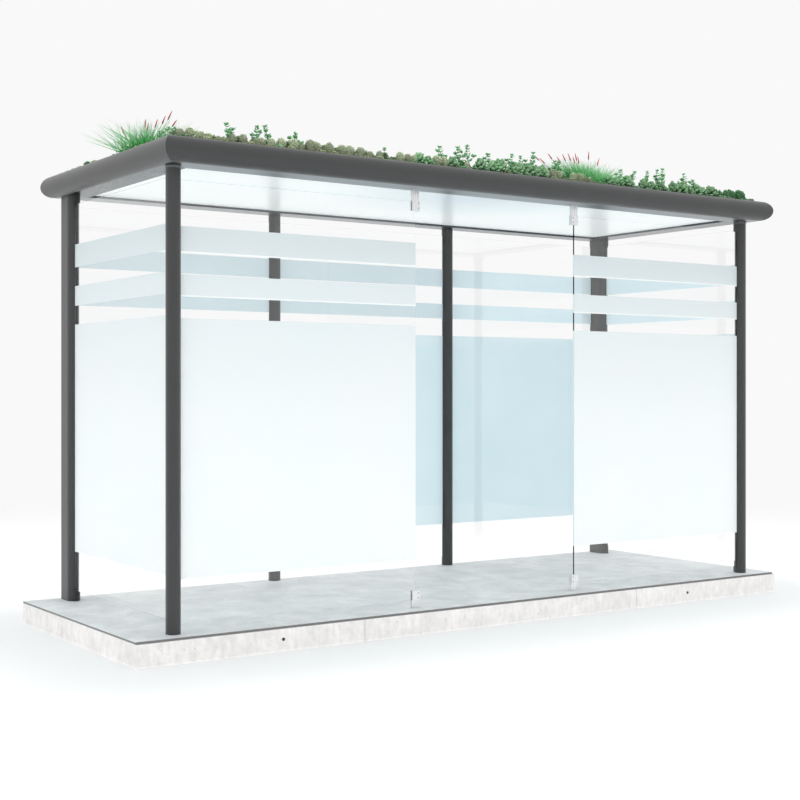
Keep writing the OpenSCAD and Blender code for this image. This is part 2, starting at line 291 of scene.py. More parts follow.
def frosted_film():
    """Etched-look vinyl film: pale cyan white, matt, with a fine grain, and light glows through it."""
    material, tree, place = new_material("frosted_vinyl_film")
    # Frost grain is well under 1 mm; drawn at 3 mm to show
    frost = noise(tree, place, 3, 2.0)
    share = ramp(tree, calc(tree, "MULTIPLY", frost, noise(tree, place, 500, 2.0)), 0.12, 0.4)
    clean = mix(tree, share, linear("#f7feff"), linear("#fdffff"))
    # Painted shade: the outer side greys towards the roof, which shades it
    across = split(tree, place)
    roof_shade = calc(tree, "POWER", ramp(tree, across["Z"], 0.4, 2.1), 2.0)
    outer = mix(tree, roof_shade, clean, linear("#dbe4e7"))
    # Painted shade: the glued side, which faces the room, is bluer and darker, and its two bands are painted
    # darker towards the left end and slightly paler towards the right
    shaded_room_side = mix(tree, share, linear("#d6ebf2"), linear("#e0f3f9"))
    band_shade = ramp(tree, across["X"], 0.4, 1.2, 0.875, 1.05, interpolation_type="SMOOTHSTEP")
    bands = calc(tree, "GREATER_THAN", across["Z"], BANDS_FROM)
    inner = mix(tree, bands, shaded_room_side, band_shade, blend_type="MULTIPLY")
    outward = vector_calc(tree, "DOT_PRODUCT", place, surface_normal(tree))
    colour = mix(tree, calc(tree, "GREATER_THAN", outward, 0.0), inner, outer)
    # On the front panes, a painted highlight: a pale rim along the lower edges of the film, as the glow of
    # its cut edge
    front = calc(tree, "LESS_THAN", across["Y"], FRONT_BEFORE)
    for low, _ in FILM_HEIGHTS:
        rim = calc(tree, "COMPARE", across["Z"], low + FILM_GLOW_RIM / 2, FILM_GLOW_RIM / 2)
        colour = mix(tree, calc(tree, "MULTIPLY", rim, front), colour, linear("#fbffff"))
    grain = bumps(tree, frost, 0.05, 0.3 * MM)
    matt = skin(tree, colour, 0.75, {"IOR": 1.45, "Normal": grain})
    glow = add(tree, "BsdfTranslucent", {"Color": colour, "Normal": grain}).outputs[0]
    wear_lit_through(tree, blend(tree, 0.42, matt, glow), linear("#fdfefe"))
    return material


def brushed_metal(name, dark, light, rough_low, rough_high, along, upright_shade=None):
    """Brushed metal with straight scratches along one axis; upright faces may be painted darker, as painted
    shade in a recess.
    """
    material, tree, place = new_material(name)
    # Scratches are about 0.3 mm apart; drawn at 3 mm to show
    brush = noise(tree, stretched(tree, place, along), 3, 2.0)
    mark = calc(tree, "MULTIPLY", brush, noise(tree, place, 300, 3.0))
    share = ramp(tree, mark, 0.1, 0.42)
    colour = mix(tree, share, linear(dark), linear(light))
    # Painted shade: upright faces darker, as the shadow line in the soffit's recess
    if upright_shade:
        level = calc(tree, "ABSOLUTE", split(tree, surface_normal(tree))["Z"])
        colour = mix(tree, level, linear(upright_shade), colour)
    rough = ramp(tree, share, 0.0, 1.0, rough_low, rough_high)
    wear(tree, skin(tree, colour, rough, {"Metallic": 1.0, "Normal": bumps(tree, brush, 0.05, 0.1 * MM)}))
    return material


def lacquered_panel():
    """White ceiling panel with a painted faint cool glow under gloss, and lengthwise streaks."""
    material, tree, place = new_material("lacquered_ceiling_panel")
    streak = noise(tree, stretched(tree, place, (0.06, 1.0, 1.0)), 26, 3.0, 0.6)
    share = ramp(tree, streak, 0.35, 0.6)
    colour = mix(tree, share, linear("#f6fdfd"), linear("#fbffff"))
    # It is dimmer above the open entrance, where no frosted pane throws light up to it
    from_entrance = stretched(tree, place, (1.1, 1.18, 0.0), (0.0, 0.7, 0.0))
    lit = ramp(tree, vector_calc(tree, "LENGTH", from_entrance), 0.0, 1.05)
    colour = mix(tree, lit, linear("#c8d9e2"), colour)
    rough = ramp(tree, share, 0.0, 1.0, 0.295, 0.285)
    wear(tree, skin(tree, colour, rough, {
        "Normal": bumps(tree, streak, 0.003, 0.5 * MM),
        # Painted light: the emission is a glow, though the panel is no lamp
        "Emission Color": linear("#eaffff"), "Emission Strength": 0.06,
    }))
    return material


def loose_soil(name, dark, light, crumb_mm):
    """Loose mineral soil or moss: matt crumbs of two colours with deep gaps between them."""
    material, tree, place = new_material(name)
    crumbs = add(tree, "TexVoronoi", {"Vector": place, "Scale": per(crumb_mm)}).outputs
    patch = noise(tree, place, 110, 4.0)
    speck = add(tree, "SeparateColor", {"Color": crumbs["Color"]}).outputs[0]
    colour = mix(tree, calc(tree, "MULTIPLY", speck, patch), linear(dark), linear(light))
    rough = ramp(tree, patch, 0.0, 1.0, 0.85, 1.0)
    gaps = bumps(tree, crumbs["Distance"], 0.8, 0.5 * crumb_mm * MM, invert=True)
    wear(tree, skin(tree, colour, rough, {"Normal": gaps}))
    return material


def living_leaf(name, roughness, spot_mm):
    """Leaf skin: each leaf's own tint with lighter and darker spots under a waxy, even gloss."""
    material, tree, place = new_material(name)
    tint = add(tree, "VertexColor", layer_name="tint").outputs["Color"]
    spots = noise(tree, place, spot_mm, 2.0)
    shade = ramp(tree, spots, 0.0, 1.0, 0.72, 1.28)
    colour = mix(tree, 1.0, tint, shade, blend_type="MULTIPLY")
    rough = ramp(tree, spots, 0.0, 1.0, roughness - 0.1, roughness + 0.1)
    wear(tree, skin(tree, colour, rough, {"Normal": bumps(tree, spots, 0.2, 0.5 * MM)}))
    return material


# Edges of the pieces that carry others, read from the frame
slab_left_low, slab_left_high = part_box("base_slab_left")
slab_right_low, slab_right_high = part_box("base_slab_right")
mat_low, mat_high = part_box("sedum_mat")
fascia_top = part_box("front_fascia")[1].z

FINISHES = {
    "concrete": cast_concrete((slab_left_high.x, slab_right_low.x)),
    "paving": honed_paving(),
    "anthracite_paint": powder_coat("anthracite_powder_coat", "#2f3031", "#363738", 0.22),
    "clear_glass": toughened_glass(),
    "frosted_film": frosted_film(),
    "dark_clamp": powder_coat("black_powder_coat", "#222324", "#2a2b2c", 0.1),
    "clip_steel": brushed_metal("brushed_stainless_steel", "#dcdee0", "#f4f5f6", 0.22, 0.36, (1, 1, 0.05)),
    # Its upright faces, #53565a, are painted shade
    "edge_beam_grey": brushed_metal(
        "brushed_aluminium", "#8f9497", "#a9aeb1", 0.3, 0.42, (0.05, 1, 1), "#53565a",
    ),
    "ceiling_white": lacquered_panel(),
    "tray_metal": brushed_metal("mill_finish_aluminium", "#9aa0a4", "#b4b9bc", 0.35, 0.5, (0.1, 1, 1)),
    "growing_medium": loose_soil("crushed_brick_substrate", "#3a2c20", "#7a5a42", 7),
}
# The beams at both ends are brushed from front to back; this copy of the aluminium is painted darker, as
# shade on the end beams
SHADED_END_BEAM = brushed_metal("shaded_end_aluminium", "#5b6063", "#74797c", 0.22, 0.34, (1, 0.05, 1), "#53565a")
LEAF = living_leaf("sedum_leaf", 0.5, 9)
BLADE = living_leaf("grass_blade", 0.55, 30)
MOSS = loose_soil("cushion_moss", "#35421f", "#76843f", 9)
HOLE_SHADE = powder_coat("hole_shade_black", "#191a1b", "#232425", 0.05)
COLLAR = powder_coat("grey_powder_coat", "#525456", "#5d5f61", 0.3)
SCREW = brushed_metal("dull_stainless_steel", "#8a8e91", "#a3a7aa", 0.35, 0.5, (1, 1, 1))

# Width of the rounded edge that each finish has, in metres
EDGE_ROUNDING = {
    "concrete": 1.2 * MM,
    "paving": 0.8 * MM,
    "dark_clamp": 1.2 * MM,
    "clip_steel": 1.5 * MM,
}

for row in frame["record"]["subparts"]:
    piece = frame["nodes"][row["node"]]
    finish = row["material_slot"]
    if finish in FINISHES:
        piece.data.materials.clear()
        piece.data.materials.append(FINISHES[finish])
    if row["node"] in ("left_edge_beam", "right_edge_beam"):
        piece.data.materials[0] = SHADED_END_BEAM
    if finish in EDGE_ROUNDING:
        weld = piece.modifiers.new("joined_faces", "WELD")
        weld.merge_threshold = 0.01 * MM
        rounding = piece.modifiers.new("rounded_edges", "BEVEL")
        rounding.width = EDGE_ROUNDING[finish]
        rounding.segments = 2
        rounding.limit_method = "ANGLE"
        rounding.harden_normals = True


def add_piece(name, material, points, triangles, tints=None):
    """Mesh piece of triangles that rides on the shelter; tints colour its points."""
    mesh = bpy.data.meshes.new(name)
    mesh.vertices.add(len(points))
    mesh.vertices.foreach_set("co", np.asarray(points, np.float32).ravel())
    mesh.loops.add(3 * len(triangles))
    mesh.loops.foreach_set("vertex_index", np.asarray(triangles, np.int32).ravel())
    mesh.polygons.add(len(triangles))
    mesh.polygons.foreach_set("loop_start", np.arange(0, 3 * len(triangles), 3, dtype=np.int32))
    mesh.polygons.foreach_set("use_smooth", np.ones(len(triangles), bool))
    mesh.update(calc_edges=True)
    if tints is not None:
        layer = mesh.color_attributes.new("tint", "FLOAT_COLOR", "POINT")
        layer.data.foreach_set("color", np.asarray(tints, np.float32).ravel())
    mesh.materials.append(material)
    piece = bpy.data.objects.new(name, mesh)
    bpy.context.scene.collection.objects.link(piece)
    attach(piece, "root")
    return piece


def turns_of(sides):
    """Angles of the points of a ring."""
    return np.arange(sides) * 2 * math.pi / sides


def ring_triangles(rings, sides):
    """Triangles of a closed form whose points are a first tip, rings and a last tip."""
    last = 1 + rings * sides
    top = last - sides
    triangles = []
    for i in range(sides):
        j = (i + 1) % sides
        triangles.append((0, 1 + j, 1 + i))
        for low in range(1, top, sides):
            high = low + sides
            triangles += [(low + i, low + j, high + j), (low + i, high + j, high + i)]
        triangles.append((top + i, top + j, last))
    return np.array(triangles)


def spindle(heights, widths, sides):
    """Closed form round +Z with a point at each end: points, triangles and each point's height."""
    points = [(0, 0, 0)]
    for height, width in zip(heights, widths):
        points += [(width * math.cos(t), width * math.sin(t), height) for t in turns_of(sides)]
    points.append((0, 0, 1))
    points = np.array(points, float)
    return points, ring_triangles(len(heights), sides), points[:, 2]


LEAF_FLAT = spindle((0.15, 0.5, 0.85), (0.35, 1.0, 0.7), 4)
LEAF_LOW = spindle((0.3, 0.8), (1.0, 0.75), 3)
EGG = spindle((0.06, 0.28, 0.55, 0.8, 0.95), (0.48, 0.9, 1.0, 0.78, 0.42), 8)
EGG_LOW = spindle((0.15, 0.5, 0.88), (0.7, 1.0, 0.6), 6)
EAR = spindle((0.04, 0.2, 0.4, 0.6, 0.8, 0.94), (0.5, 1.0, 0.95, 0.8, 0.6, 0.3), 6)
# Round head with a raised rim, seen from its hollow side; +Z runs into the piece that holds it
HEAD = spindle((0.0, -1.2, -1.4, -0.4, 0.9), (0.6, 0.8, 0.94, 1.0, 1.0), 20)
STEM_SIDES = 3


def frames_along(directions, rolls):
    """Turns that lay +Z along each direction, rolled round it."""
    z = directions / np.linalg.norm(directions, axis=1, keepdims=True)
    helper = np.where(np.abs(z[:, 2:]) > 0.95, (1.0, 0.0, 0.0), (0.0, 0.0, 1.0))
    x = np.cross(helper, z)
    x /= np.linalg.norm(x, axis=1, keepdims=True)
    y = np.cross(z, x)
    cos, sin = np.cos(rolls)[:, None], np.sin(rolls)[:, None]
    return np.stack((x * cos + y * sin, y * cos - x * sin, z), axis=2)


class Heap:
    """Gathers many copies of small forms into one mesh."""

    def __init__(self):
        self.points, self.triangles, self.tints = [], [], []
        self.count = 0

    def add(self, points, triangles, tints):
        """One form with a tint for each point."""
        self.points.append(points)
        self.triangles.append(triangles + self.count)
        self.tints.append(tints)
        self.count += len(points)

    def copies(self, form, directions, rolls, sizes, places, low, high):
        """Copies of a spindle; sizes are half width, half thickness and length; tints run low to high."""
        points, triangles, heights = form
        turns = frames_along(directions, rolls)
        scaled = points[None] * sizes[:, None, :]
        placed = np.einsum("nij,nvj->nvi", turns, scaled) + places[:, None, :]
        shares = heights[None, :, None]
        tints = low[:, None, :] * (1 - shares) + high[:, None, :] * shares
        tints = np.concatenate((tints, np.ones((*tints.shape[:2], 1))), axis=2)
        for copy, tint in zip(placed, tints):
            self.add(copy, triangles, tint)

    def piece(self, name, slot, material):
        """The heap as one piece."""
        return add_piece(
            name, material,
            np.concatenate(self.points), np.concatenate(self.triangles), np.concatenate(self.tints),
        )


def varied(rng, colour, count, amount):
    """Count linear colours round one hex colour, each a little lighter or darker."""
    shade = 1 + rng.uniform(-amount, amount, (count, 1))
    hue = 1 + rng.uniform(-0.35 * amount, 0.35 * amount, (count, 3))
    return np.array(linear(colour)[:3])[None] * shade * hue


def bun(heap, rng, place, radius, height, colour, tip, count, heart_form=EGG):
    """Egg-shaped cushion of a stonecrop: a heart under thick leaves that overlap and point up and out."""
    share = (np.arange(count) + 0.5) / count
    rise = 1.0 - 1.3 * share
    level = np.sqrt(np.clip(1 - rise ** 2, 0, 1))
    turn = GOLDEN_TURN * np.arange(count) + rng.uniform(0, ANY_TURN)
    out = np.stack((level * np.cos(turn), level * np.sin(turn), rise), axis=1)
    out += rng.normal(0, 0.05, out.shape)
    half = np.array((radius, radius, height / 2))
    centre = np.array(place) + (0, 0, height / 2)
    leaf = 1.8 * radius / math.sqrt(count)
    width = leaf * rng.uniform(0.85, 1.15, count)
    sizes = np.stack((width, width * 0.8, 1.3 * leaf * rng.uniform(0.85, 1.15, count)), axis=1)
    # Painted shade: the lower leaves of a cushion are darker and the upper paler, as light falls from above
    shade = rng.uniform(0.68, 1.22) * (0.74 + 0.46 * rise)[:, None]
    low = varied(rng, colour, count, 0.12) * shade
    high = varied(rng, tip, count, 0.12) * shade
    root = centre + out * (half - 0.75 * leaf)
    heap.copies(LEAF_LOW, out + (0, 0, 0.4), rng.uniform(0, ANY_TURN, count), sizes, root, low, high)
    # The heart is painted darker, as shade deep between the leaves
    heart = np.array([[radius - 0.4 * leaf, radius - 0.4 * leaf, height - 0.5 * leaf]])
    dark = varied(rng, colour, 1, 0.1) * 0.7
    heap.copies(heart_form, np.array([[0.0, 0.0, 1.0]]), np.zeros(1), heart, np.array([place]), dark, dark)


def clump(heap, rng, place, radius, height, colour, tip, count):
    """Loose clump of broad leaves that lean out and up."""
    share = (np.arange(count) + 0.5) / count
    turn = GOLDEN_TURN * np.arange(count) + rng.uniform(0, ANY_TURN)
    lean = 0.25 + 1.05 * share
    out = np.stack((np.sin(lean) * np.cos(turn), np.sin(lean) * np.sin(turn), np.cos(lean)), axis=1)
    out += rng.normal(0, 0.1, out.shape)
    ring = np.stack((np.cos(turn), np.sin(turn), np.zeros(count)), axis=1)
    root = ring * (share * radius * 0.55)[:, None]
    root[:, 2] = height * (0.62 - 0.5 * share)
    places = np.array(place) + root
    length = 0.55 * height * rng.uniform(0.8, 1.15, count)
    width = 0.24 * height * rng.uniform(0.85, 1.15, count)
    sizes = np.stack((width, width * 0.42, length), axis=1)
    shade = rng.uniform(0.85, 1.15)
    low = varied(rng, colour, count, 0.15) * 0.6 * shade
    high = varied(rng, tip, count, 0.12) * shade
    heap.copies(LEAF_FLAT, out, rng.normal(0, 0.3, count), sizes, places, low, high)


def stem(heap, path, widths, low, high):
    """Thin closed tube along a path with a pointed end; its tint runs from low to high."""
    turns = frames_along(np.gradient(path, axis=0), np.zeros(len(path)))
    ring = turns_of(STEM_SIDES)
    circle = np.stack((np.cos(ring), np.sin(ring), np.zeros(STEM_SIDES)), axis=1)
    rings = np.einsum("nij,sj->nsi", turns, circle) * widths[:, None, None] + path[:, None, :]
    points = np.concatenate((path[:1], rings[:-1].reshape(-1, 3), path[-1:]))
    along = np.repeat(np.linspace(0, 1, len(path))[:-1], STEM_SIDES)
    shares = np.concatenate(([0], along, [1]))[:, None]
    tints = low[None] * (1 - shares) + high[None] * shares
    tints = np.concatenate((tints, np.ones((len(tints), 1))), axis=1)
    heap.add(points, ring_triangles(len(path) - 1, STEM_SIDES), tints)


# Leafy stems: radius at the foot, distance between whorls, leaves in a whorl and in the head
STEM_RADIUS = 1.7 * MM
WHORL_STEP = 19 * MM
WHORL, HEAD_LEAVES = 3, 6


def shoot(heap, rng, root, way, length, leaf, colour, tip):
    """Leafy stem from root along way: whorls of broad leaves and a flat head."""
    steps = np.linspace(0, 1, 5)
    path = root + way * length * steps[:, None]
    path[:, :2] += rng.normal(0, 0.06, 2) * length * steps[:, None] ** 2
    stem(heap, path, STEM_RADIUS * (1 - 0.55 * steps), *varied(rng, colour, 2, 0.1))
    whorls = max(2, int(length / WHORL_STEP))
    count = WHORL * whorls + HEAD_LEAVES
    along = np.concatenate((np.repeat(np.linspace(0.3, 0.88, whorls), WHORL), np.full(HEAD_LEAVES, 0.97)))
    turn = GOLDEN_TURN * np.repeat(np.arange(whorls + 1), [WHORL] * whorls + [HEAD_LEAVES])
    round_whorls = np.tile(np.arange(WHORL) * THIRD_TURN, whorls)
    turn += np.concatenate((round_whorls, np.arange(HEAD_LEAVES) * SIXTH_TURN))
    turn += rng.normal(0, 0.2, count)
    lift = np.concatenate((rng.uniform(0.1, 0.65, WHORL * whorls), rng.uniform(0.35, 0.9, HEAD_LEAVES)))
    out = np.stack((np.cos(lift) * np.cos(turn), np.cos(lift) * np.sin(turn), np.sin(lift)), axis=1)
    places = np.stack([np.interp(along, steps, path[:, k]) for k in range(3)], axis=1)
    size = leaf * rng.uniform(0.75, 1.15, count) * (1.15 - 0.4 * along)
    sizes = np.stack((size * 0.32, size * 0.12, size), axis=1)
    low = varied(rng, colour, count, 0.15)
    high = varied(rng, tip, count, 0.15)
    heap.copies(LEAF_FLAT, out + 0.3 * way, rng.normal(0, 0.4, count), sizes, places, low, high)


# A shoot taller than this has two side shoots, at these shares of its height and turns
BRANCHED_FROM = 80 * MM
BRANCHES = ((0.34, 0.0), (0.52, 3.0))


def sprig(heap, rng, place, height, leaf, colour, tip):
    """Upright shoot with leaves of one length; a tall one has two side shoots."""
    place = np.array(place)
    way = np.array((rng.normal(0, 0.12), rng.normal(0, 0.12), 1.0))
    length = height - 0.45 * leaf
    shoot(heap, rng, place, way, length, leaf, colour, tip)
    if height > BRANCHED_FROM:
        turn = rng.uniform(0, ANY_TURN)
        for share, side in BRANCHES:
            aside = 0.75 * np.array((math.cos(turn + side), math.sin(turn + side), 1.0))
            shoot(heap, rng, place + way * length * share, aside, 0.34 * length, leaf, colour, tip)


# Plant colours
OLIVE, OLIVE_TIP = "#a2b08a", "#d4e1c2"
DEEP, DEEP_TIP = "#3f744a", "#8ab888"
END, END_TIP = "#3f7d48", "#6fa873"
SHADE = "#26472c"
CARPET, CARPET_TIP = "#78865f", "#a3b187"
SHOOT, SHOOT_TIP = "#4c9459", "#8bc791"
FRESH, FRESH_TIP = "#3c9a50", "#83c98b"
BLADE_FOOT, BLADE_TIP = "#1bb042", "#8cd695"
SPIKE_FOOT, SPIKE_TIP = "#a63c47", "#dd6068"
LEAF_LENGTH = 25 * MM

# Front row: place along X and height above the roof edge, both in mm
OLIVE_BUNS = (
    (-1978, 44), (-1926, 55), (-1894, 42), (-1862, 43), (-1820, 38), (-1774, 29), (-1744, 30), (-1700, 48),
    (-1636, 54), (-1570, 41), (-1536, 47), (-1480, 48), (-1422, 56), (-1354, 58), (-1314, 47), (-1262, 61),
    (-1222, 56), (-1148, 60), (-1066, 57), (-1024, 56), (-956, 54), (-900, 40), (-838, 49), (-712, 55),
    (-654, 51), (-620, 46), (-472, 59), (-418, 57), (-268, 42), (292, 56), (354, 58), (396, 54), (498, 52),
    (546, 54), (588, 50), (624, 38),
)
DEEP_BUNS = (
    (-584, 57), (-530, 47), (-368, 55), (-180, 58), (-96, 56), (-40, 70), (66, 60), (108, 62), (182, 68),
    (230, 58), (260, 60), (776, 54), (850, 50), (930, 61), (1062, 55), (1130, 50), (1200, 54),
    (1314, 58), (1382, 68), (1440, 50), (1502, 62), (1556, 54), (1624, 60),
)
# Single dark cushions at the right end
END_BUNS = ((1672, 54), (1718, 52), (1776, 56), (1808, 60), (1842, 56), (1882, 66), (1916, 60))
FRONT_SPRIGS = (
    (-1710, 95), (-1552, 99), (-1478, 111), (-1344, 84), (-1318, 72), (-794, 65), (-418, 111), (-306, 118),
    (-254, 131), (-100, 104), (36, 113), (138, 116), (188, 133), (346, 107), (404, 107), (872, 99),
    (970, 100), (1094, 107), (1186, 120), (1236, 132), (1442, 127), (1494, 92),
)
# Behind the left roof edge: place along Y and height, in mm
LEFT_BUNS = ((240, 26), (335, 32))
LEFT_SPRIGS = (
    (-716, 52), (-700, 58), (-684, 64), (-668, 60), (-648, 70), (-630, 64), (-610, 68), (-590, 56),
    (-568, 60), (-546, 52), (-524, 50), (-480, 42),
)
# Second row, in mm along X: start inside the mat's left end, step, and end before its right end
SECOND_ROW_IN, SECOND_ROW_STEP, SECOND_ROW_SHORT = 40, 41, 400
# It turns from cushions to leafy plants here, and grass stands in their place from here to there
LEAFY_FROM = -600
GRASS_FROM, GRASS_TO = 530, 770

FRONT_ROW_IN = 20 * MM
ROW_SCATTER = 14
# Plants stand this deep in the bed
SUNK = 4 * MM
BED_LEVEL = fascia_top - 6 * MM
BED_STEP = 18 * MM
CARPET_STEP = 50 * MM
# Carpet: rise of its plants in mm, least radius of a cushion, leaves of a cushion and of a clump
CARPET_RISE = (24, 46)
CARPET_RADIUS = 19 * MM
CUSHION_LEAVES, CLUMP_LEAVES = 13, 15
# It stays low near the front and left edges, with no clumps where its rise is below CLUMPS_FROM
CARPET_EDGE_RISE, CARPET_SLOPE = 12 * MM, 0.14
CLUMPS_FROM = 40 * MM
# Its patches are pale above the first value and leafy below the second
PALE_ABOVE, LEAFY_BELOW = 0.1, -1.5
# This far inside, this share of its plants has a tall shoot, with heights in mm
SHOOTS_INSIDE = 420 * MM
SHOOT_SHARE = 0.05
SHOOT_HEIGHT = (70, 110)


def bed_height(x, y):
    """Height of the mossy bed, gently uneven."""
    waves = np.sin(x * 21.0 + 1.3 * np.sin(y * 17.0)) * np.sin(y * 26.0 + x * 5.0)
    ripples = np.sin(x * 67.0 + y * 31.0) * np.sin(y * 71.0 - x * 23.0)
    return BED_LEVEL + 3.5 * MM * waves + 2 * MM * ripples


def mossy_bed():
    """Closed mossy mat: an uneven top and straight sides that stand in the roof edge."""
    columns = int((mat_high.x - mat_low.x) / BED_STEP)
    rows = int((mat_high.y - mat_low.y) / BED_STEP)
    x, y = np.meshgrid(np.linspace(mat_low.x, mat_high.x, columns), np.linspace(mat_low.y, mat_high.y, rows))
    top = np.stack((x, y, bed_height(x, y)), axis=2).reshape(-1, 3)
    low = top.copy()
    low[:, 2] = mat_low.z
    index = np.arange(rows * columns).reshape(rows, columns)
    a, b = index[:-1, :-1].ravel(), index[:-1, 1:].ravel()
    c, d = index[1:, 1:].ravel(), index[1:, :-1].ravel()
    upper = np.concatenate((np.stack((a, b, c), 1), np.stack((a, c, d), 1)))
    under = upper[:, ::-1] + len(top)
    rim = np.concatenate((index[0], index[1:, -1], index[-1, -2::-1], index[-2:0:-1, 0]))
    after = np.roll(rim, -1)
    sides = np.concatenate((
        np.stack((rim, rim + len(top), after + len(top)), 1), np.stack((rim, after + len(top), after), 1),
    ))
    triangles = np.concatenate((upper, under, sides))
    return add_piece("moss_bed", MOSS, np.concatenate((top, low)), triangles)


def stand(x, y, rise):
    """Foot of a plant and its height, for a top that is rise above the roof edge."""
    foot = bed_height(x, y) - SUNK
    return (x, y, foot), fascia_top + rise - foot


def carpet_field(rng, heaps, shoots):
    """Low carpet of cushions and leafy clumps in patches, with a few shoots, in heaps from left to right."""
    columns = int((mat_high.x - mat_low.x) / CARPET_STEP)
    rows = int((mat_high.y - mat_low.y) / CARPET_STEP)
    step_x, step_y = (mat_high.x - mat_low.x) / columns, (mat_high.y - mat_low.y) / rows
    for i in range(columns):
        heap = heaps[len(heaps) * i // columns]
        for j in range(rows):
            x = mat_low.x + (i + 0.5 + rng.uniform(-0.3, 0.3)) * step_x
            y = mat_low.y + (j + 0.5 + rng.uniform(-0.3, 0.3)) * step_y
            inward = min(x - mat_low.x, y - mat_low.y)
            cap = CARPET_EDGE_RISE + CARPET_SLOPE * inward
            place, height = stand(x, y, min(cap, rng.uniform(*CARPET_RISE) * MM))
            patch = math.sin(2.1 * x + 0.6) + math.sin(4.3 * y + 1.7 * x)
            patch += 0.8 * math.sin(3.3 * x - 5.1 * y + 2.0)
            kind = patch + rng.normal(0, 0.5) + (0.5 if x < LEAFY_FROM * MM else -0.3)
            if kind > LEAFY_BELOW or cap < CLUMPS_FROM:
                colours = (CARPET, CARPET_TIP) if kind > PALE_ABOVE else (DEEP, DEEP_TIP)
                radius = max(0.45 * height, CARPET_RADIUS) * rng.uniform(0.95, 1.2)
                bun(heap, rng, place, radius, height, *colours, CUSHION_LEAVES, EGG_LOW)
            else:
                clump(heap, rng, place, 26 * MM, height * 1.15, DEEP, SHOOT_TIP, CLUMP_LEAVES)
            if inward > SHOOTS_INSIDE and rng.random() < SHOOT_SHARE:
                sprig(shoots, rng, place, rng.uniform(*SHOOT_HEIGHT) * MM, LEAF_LENGTH, SHOOT, SHOOT_TIP)


def roof_planting():
    """Front row of single plants, then a lower carpet that grows taller away from the seen edges."""
    rng = np.random.default_rng(11)
    row, back_row, shoots = Heap(), Heap(), Heap()
    front = mat_low.y + FRONT_ROW_IN
    left = mat_low.x + FRONT_ROW_IN

    for x_mm, rise_mm in OLIVE_BUNS:
        place, height = stand(x_mm * MM, front + rng.uniform(0, ROW_SCATTER) * MM, rise_mm * MM)
        bun(row, rng, place, rng.uniform(0.32, 0.42) * height, height, OLIVE, OLIVE_TIP, 90)
    for x_mm, rise_mm in DEEP_BUNS:
        place, height = stand(x_mm * MM, front + rng.uniform(0, ROW_SCATTER) * MM, rise_mm * MM)
        clump(row, rng, place, 0.5 * height, height * 1.05, DEEP, DEEP_TIP, 24)
    for x_mm, rise_mm in END_BUNS:
        place, height = stand(x_mm * MM, front + rng.uniform(0, ROW_SCATTER) * MM, rise_mm * MM)
        bun(row, rng, place, 0.34 * height, height, END, END_TIP, 40)
    for y_mm, rise_mm in LEFT_BUNS:
        place, height = stand(left, y_mm * MM, rise_mm * MM)
        bun(row, rng, place, 0.5 * height, height, DEEP, DEEP_TIP, 60)
    row.piece("sedum_front_row", "planting", LEAF)

    # Second row that closes the gaps: cushions on the left, broad leaves on the right
    row_start = mat_low.x / MM + SECOND_ROW_IN
    row_end = mat_high.x / MM - SECOND_ROW_SHORT
    for x_mm in np.arange(row_start, row_end, SECOND_ROW_STEP):
        x = (x_mm + rng.uniform(-12, 12)) * MM
        y = front + rng.uniform(28, 46) * MM
        if x_mm < LEAFY_FROM:
            place, height = stand(x, y, rng.uniform(28, 52) * MM)
            bun(back_row, rng, place, 0.4 * height, height, DEEP, OLIVE, 50)
        elif not GRASS_FROM < x_mm < GRASS_TO:
            place, height = stand(x, y, rng.uniform(8, 44) * MM)
            clump(back_row, rng, place, 30 * MM, height * 1.1, SHADE, DEEP, 22)
    back_row.piece("sedum_second_row", "planting", LEAF)

    for x_mm, rise_mm in FRONT_SPRIGS:
        y = front + rng.uniform(12, 34) * MM
        place, height = stand(x_mm * MM, y, rise_mm * 1.1 * MM)
        sprig(shoots, rng, place, height, LEAF_LENGTH, SHOOT, SHOOT_TIP)
    for y_mm, rise_mm in LEFT_SPRIGS:
        place, height = stand(left + rng.uniform(0, 25) * MM, y_mm * MM, rise_mm * MM)
        sprig(shoots, rng, place, height, 0.65 * LEAF_LENGTH, FRESH, FRESH_TIP)

    ends = ("left", "middle", "right")
    carpets = [Heap() for _ in ends]
    carpet_field(rng, carpets, shoots)
    for heap, end in zip(carpets, ends):
        heap.piece("sedum_carpet_" + end, "planting", LEAF)
    shoots.piece("stonecrop_shoots", "planting", LEAF)


# Grass: radii of blades, stalks and ears, length of an ear, widest lean of a blade in radians
BLADE_RADIUS = 2.0 * MM
STALK_RADIUS = 1.0 * MM
EAR_RADIUS, EAR_LENGTH = 3.8 * MM, 52 * MM
WIDEST_LEAN = 1.25
BLADE_STEPS = 7
# Tuft roots as shares of the mat's length and depth, as in the frame
TUFT_PLACES = ((0.018, 0.36), (0.663, 0.06), (0.12, 0.86), (0.3, 0.8), (0.47, 0.9), (0.82, 0.8), (0.93, 0.9))
# Longest blade, spread of the roots along X and Y in mm, share cut from blades that lean ahead, and blades:
# at the left edge the roots spread along it, at the front they lean back, and the rest are young
TUFT_KINDS = (
    (345 * MM, (18, 108), 0.0, 370),
    (360 * MM, (62, 16), 0.5, 1050),
    (230 * MM, (40, 40), 0.0, 200),
)
# Tips of the flower stalks from the tuft's root, in mm: along X, along Y and up
LEFT_STALKS = (
    (-68, 91, 155), (20, -17, 184), (26, -33, 162), (44, -105, 173), (60, -163, 181), (74, -211, 200),
    (84, -243, 151),
)
FRONT_STALKS = (
    (-266, 158, 184), (-240, 140, 169), (-198, 112, 196), (-156, 82, 178), (-129, 64, 193), (-102, 45, 198),
    (-78, 29, 178), (-67, 22, 198), (-55, 13, 178), (-1, -24, 208), (50, -58, 169),
)


